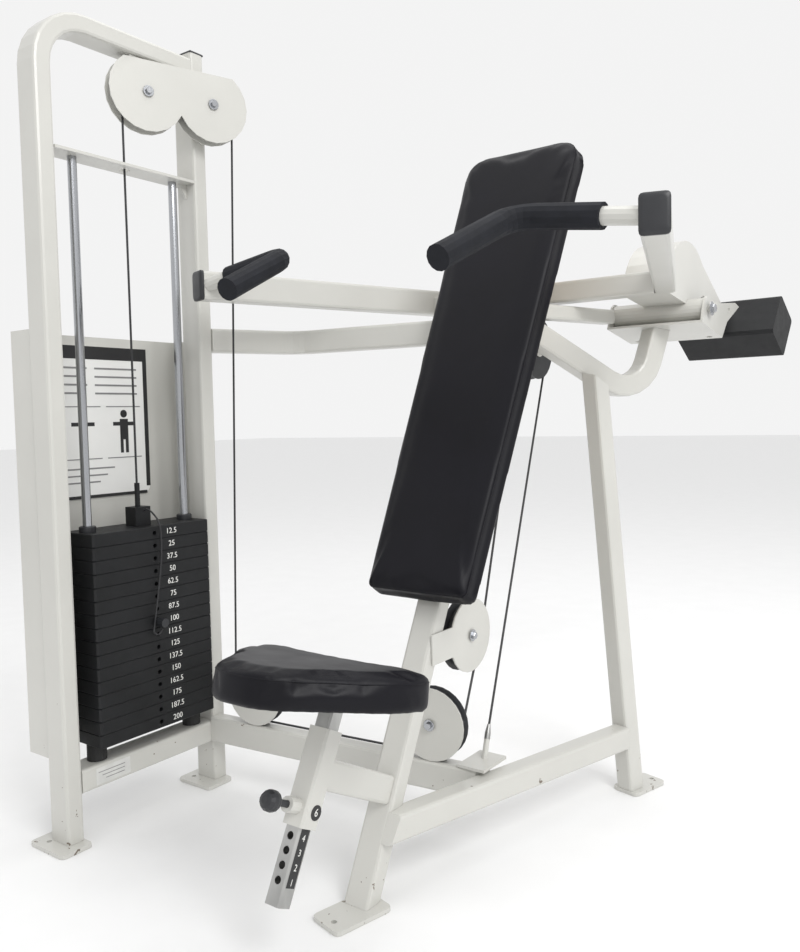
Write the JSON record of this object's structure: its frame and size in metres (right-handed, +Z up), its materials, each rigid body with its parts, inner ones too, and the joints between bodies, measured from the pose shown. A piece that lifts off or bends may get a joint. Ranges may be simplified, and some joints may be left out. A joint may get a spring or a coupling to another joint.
{
  "type": "shoulder press machine",
  "caption": "Selectorised shoulder press machine: side weight tower, inclined back post with long pad, sliding seat, counterbalanced press arm with two handles and cable drive.",
  "frame": {"origin": "middle of the footprint at floor level", "axes": "+Z up, -Y is the side the user faces (front), +X to the user's left-hand side seen from the front; the weight tower stands on the -X side"},
  "size_m": [1.279, 1.6367, 1.721],
  "materials": {
    "white_powder_coat": "gloss powder coat",
    "black_iron": "matte black paint",
    "black_vinyl": "satin vinyl",
    "plywood": "raw edge",
    "chrome": "polished",
    "bare_steel": "brushed",
    "black_rubber": "matte",
    "foam_grip": "matte foam",
    "black_plastic": "matte",
    "sign_white": "satin",
    "cable_black": "satin nylon jacket"
  },
  "bodies": {
    "frame": {"tower_arch": "white_powder_coat", "rear_upright": "white_powder_coat", "tower_crossbar": "white_powder_coat", "rod_top_plate": "white_powder_coat", "tower_front_foot": "white_powder_coat", "tower_rear_foot": "white_powder_coat", "guide_rod_front": "chrome", "guide_rod_rear": "chrome", "rod_bumper_front": "black_rubber", "rod_bumper_rear": "black_rubber", "base_crossbeam": "white_powder_coat", "side_beam": "white_powder_coat", "rear_leg": "white_powder_coat", "post_strut": "white_powder_coat", "upper_crossbeam": "white_powder_coat", "post_foot": "white_powder_coat", "leg_foot": "white_powder_coat", "pivot_bracket": "white_powder_coat", "seat_sleeve": "white_powder_coat", "cable_anchor": "white_powder_coat", "stack_shroud": "white_powder_coat", "placard": "sign_white", "back_pad": "black_vinyl", "top_pulley_housing": "white_powder_coat", "base_pulley_guard": "white_powder_coat", "post_pulley_guard": "white_powder_coat", "rear_pulley_guard": "white_powder_coat", "resting_plates": "black_iron", "main_cable": "cable_black", "stack_cable": "cable_black", "lift_cable_front": "cable_black", "lift_cable_rear": "cable_black", "back_post": "white_powder_coat", "back_pad_board": "plywood", "bent_side_tube": "white_powder_coat"},
    "movement_arm": {"arm_hub": "white_powder_coat", "counterweight": "black_iron", "arm_cam": "white_powder_coat", "arm_cross_tube": "white_powder_coat", "lift_pulley_fork": "white_powder_coat", "press_arm_right": "white_powder_coat", "press_arm_left": "white_powder_coat", "handle_right": "white_powder_coat", "handle_left": "white_powder_coat", "grip_right": "foam_grip", "grip_left": "foam_grip"},
    "weight_carriage": {"lifted_plates": "black_iron", "selector_stem": "black_iron", "lanyard": "cable_black"},
    "selector_pin": {"selector_pin": "chrome"},
    "top_front_pulley": {"top_front_pulley": "black_plastic"},
    "top_rear_pulley": {"top_rear_pulley": "black_plastic"},
    "base_pulley": {"base_pulley": "black_plastic"},
    "post_pulley": {"post_pulley": "black_plastic"},
    "rear_pulley": {"rear_pulley": "black_plastic"},
    "lift_pulley": {"lift_pulley": "black_plastic"},
    "seat_carriage": {"seat_tube": "bare_steel", "seat_plate": "white_powder_coat", "seat_pad": "black_vinyl"},
    "seat_pin": {"seat_pull_pin": "black_plastic"}
  },
  "joints": [
    {"name": "arm_press", "type": "hinge", "parent": "frame", "child": "movement_arm", "pos_m": [0.1185, 0.3722, 1.1065], "axis": [-1, 0, 0], "range_deg": [0, 43], "deforming": ["lift_cable_front", "lift_cable_rear"]},
    {"name": "weight_lift", "type": "slide", "parent": "frame", "child": "weight_carriage", "axis": [0, 0, 1], "range_m": [0, 0.2705], "deforming": ["stack_cable"]},
    {"name": "selector_pin_pull", "type": "slide", "parent": "weight_carriage", "child": "selector_pin", "axis": [1, 0, 0], "range_m": [0, 0.08]},
    {"name": "top_front_pulley_spin", "type": "hinge", "parent": "frame", "child": "top_front_pulley", "pos_m": [-0.52088, -0.42479, 1.5965], "axis": [-0.9511, 0.309, 0], "range_deg": [0, 290]},
    {"name": "top_rear_pulley_spin", "type": "hinge", "parent": "frame", "child": "top_rear_pulley", "pos_m": [-0.47378, -0.27985, 1.5965], "axis": [-0.9511, 0.309, 0], "range_deg": [0, 290]},
    {"name": "base_pulley_spin", "type": "hinge", "parent": "frame", "child": "base_pulley", "pos_m": [-0.3755, -0.28167, 0.241], "axis": [0.1045, -0.9945, 0], "range_deg": [0, 236]},
    {"name": "post_pulley_spin", "type": "hinge", "parent": "frame", "child": "post_pulley", "pos_m": [0.0845, -0.23332, 0.241], "axis": [0.1045, -0.9945, 0], "range_deg": [0, 236]},
    {"name": "rear_pulley_spin", "type": "hinge", "parent": "frame", "child": "rear_pulley", "pos_m": [0.1345, -0.1858, 0.422], "axis": [1, 0, 0], "range_deg": [0, 236]},
    {"name": "lift_pulley_spin", "type": "hinge", "parent": "movement_arm", "child": "lift_pulley", "pos_m": [0.1065, 0.1942, 1.03], "axis": [-1, 0, 0], "range_deg": [0, 75]},
    {"name": "seat_slide", "type": "slide", "parent": "frame", "child": "seat_carriage", "axis": [0, 0.4633, 0.8862], "range_m": [0, 0.1125]},
    {"name": "seat_pin_pull", "type": "slide", "parent": "frame", "child": "seat_pin", "axis": [0, -0.8862, 0.4633], "range_m": [0, 0.012], "stiffness_N_per_m": 300}
  ],
  "couplings": [
    {"joint": "weight_lift", "follows": "arm_press", "m_per_rad": 0.36},
    {"joint": "top_front_pulley_spin", "follows": "arm_press", "ratio": 6.729},
    {"joint": "top_rear_pulley_spin", "follows": "arm_press", "ratio": 6.729},
    {"joint": "base_pulley_spin", "follows": "arm_press", "ratio": 5.4545},
    {"joint": "post_pulley_spin", "follows": "arm_press", "ratio": 5.4545},
    {"joint": "rear_pulley_spin", "follows": "arm_press", "ratio": 5.4545},
    {"joint": "lift_pulley_spin", "follows": "arm_press", "ratio": 1.73}
  ]
}
